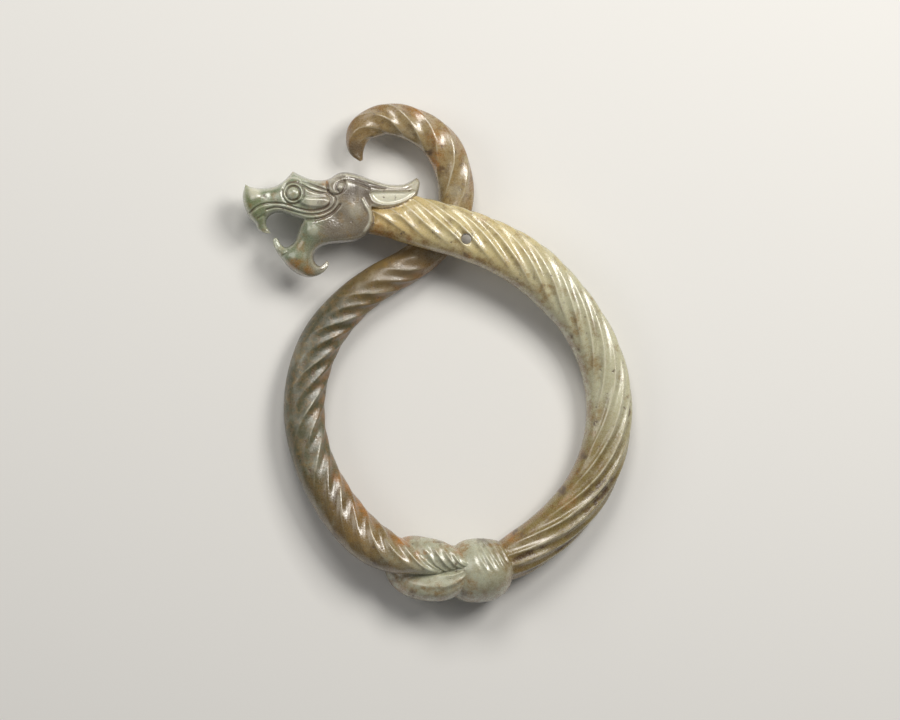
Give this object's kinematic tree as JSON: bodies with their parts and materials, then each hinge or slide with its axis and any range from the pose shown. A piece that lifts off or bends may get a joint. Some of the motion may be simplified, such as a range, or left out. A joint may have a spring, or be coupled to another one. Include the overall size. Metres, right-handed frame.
{
  "type": "jade dragon pendant",
  "caption": "Carved pendant: a twisted rope body forms an open loop with a knot below, crosses itself above, and ends in a hooked tail and an open-jawed dragon's head.",
  "frame": {"origin": "under the middle of the bounding box, on the surface that the pendant's back lies on", "axes": "+Y up the pendant from the knot to the hooked tail, +Z out of its front, +X to the right seen from the front"},
  "size_m": [0.0614, 0.0794, 0.0106],
  "materials": {
    "jade": "polished, slightly translucent nephrite with brown stains in the grooves"
  },
  "bodies": {
    "root": {"jade_dragon": "jade"}
  },
  "joints": []
}
